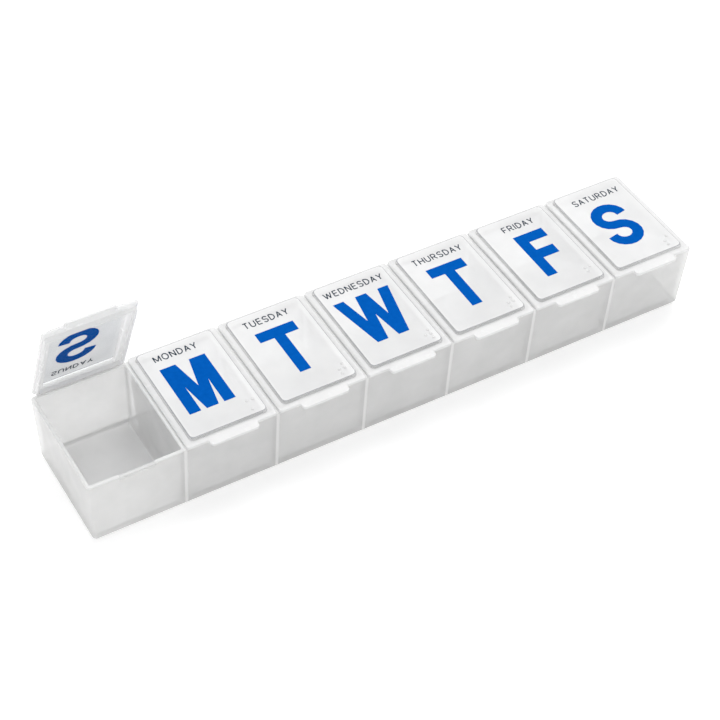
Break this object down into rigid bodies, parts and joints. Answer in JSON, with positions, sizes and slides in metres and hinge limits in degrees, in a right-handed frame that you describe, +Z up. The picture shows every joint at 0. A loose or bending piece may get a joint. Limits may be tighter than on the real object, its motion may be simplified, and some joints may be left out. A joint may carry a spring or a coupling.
{
  "type": "pill organizer",
  "caption": "Long shallow drafted tray divided into a row of small compartments, each with its own snap-down lid on a living hinge, marked with the day of the week.",
  "frame": {"origin": "centre of the tray's flat base", "axes": "+X along the row of compartments from Sunday to Saturday, -Y towards the thumb tabs, +Z up"},
  "size_m": [0.2814, 0.059, 0.0866],
  "materials": {
    "tray_plastic": "frosted translucent polypropylene",
    "lid_plastic": "clear-white satin polypropylene",
    "blue_ink": "printed ink, blue",
    "grey_ink": "printed ink, dark slate"
  },
  "bodies": {
    "tray": {"tray": "tray_plastic", "divider_1": "tray_plastic", "divider_2": "tray_plastic", "divider_3": "tray_plastic", "divider_4": "tray_plastic", "divider_5": "tray_plastic", "divider_6": "tray_plastic", "hinge_sunday": "tray_plastic", "hinge_monday": "tray_plastic", "hinge_tuesday": "tray_plastic", "hinge_wednesday": "tray_plastic", "hinge_thursday": "tray_plastic", "hinge_friday": "tray_plastic", "hinge_saturday": "tray_plastic"},
    "lid_sunday": {"lid_sunday": "lid_plastic", "letter_sunday": "blue_ink", "name_sunday": "grey_ink"},
    "lid_monday": {"lid_monday": "lid_plastic", "letter_monday": "blue_ink", "name_monday": "grey_ink"},
    "lid_tuesday": {"lid_tuesday": "lid_plastic", "letter_tuesday": "blue_ink", "name_tuesday": "grey_ink"},
    "lid_wednesday": {"lid_wednesday": "lid_plastic", "letter_wednesday": "blue_ink", "name_wednesday": "grey_ink"},
    "lid_thursday": {"lid_thursday": "lid_plastic", "letter_thursday": "blue_ink", "name_thursday": "grey_ink"},
    "lid_friday": {"lid_friday": "lid_plastic", "letter_friday": "blue_ink", "name_friday": "grey_ink"},
    "lid_saturday": {"lid_saturday": "lid_plastic", "letter_saturday": "blue_ink", "name_saturday": "grey_ink"}
  },
  "joints": [
    {"name": "sunday_hinge", "type": "hinge", "parent": "tray", "child": "lid_sunday", "pos_m": [-0.12, 0.02695, 0.0331], "axis": [-1, 0, 0], "range_deg": [-68, 112], "deforming": ["hinge_sunday"]},
    {"name": "monday_hinge", "type": "hinge", "parent": "tray", "child": "lid_monday", "pos_m": [-0.08, 0.02695, 0.0331], "axis": [-1, 0, 0], "range_deg": [0, 180], "deforming": ["hinge_monday"]},
    {"name": "tuesday_hinge", "type": "hinge", "parent": "tray", "child": "lid_tuesday", "pos_m": [-0.04, 0.02695, 0.0331], "axis": [-1, 0, 0], "range_deg": [0, 180], "deforming": ["hinge_tuesday"]},
    {"name": "wednesday_hinge", "type": "hinge", "parent": "tray", "child": "lid_wednesday", "pos_m": [0, 0.02695, 0.0331], "axis": [-1, 0, 0], "range_deg": [0, 180], "deforming": ["hinge_wednesday"]},
    {"name": "thursday_hinge", "type": "hinge", "parent": "tray", "child": "lid_thursday", "pos_m": [0.04, 0.02695, 0.0331], "axis": [-1, 0, 0], "range_deg": [0, 180], "deforming": ["hinge_thursday"]},
    {"name": "friday_hinge", "type": "hinge", "parent": "tray", "child": "lid_friday", "pos_m": [0.08, 0.02695, 0.0331], "axis": [-1, 0, 0], "range_deg": [0, 180], "deforming": ["hinge_friday"]},
    {"name": "saturday_hinge", "type": "hinge", "parent": "tray", "child": "lid_saturday", "pos_m": [0.12, 0.02695, 0.0331], "axis": [-1, 0, 0], "range_deg": [0, 180], "deforming": ["hinge_saturday"]}
  ]
}
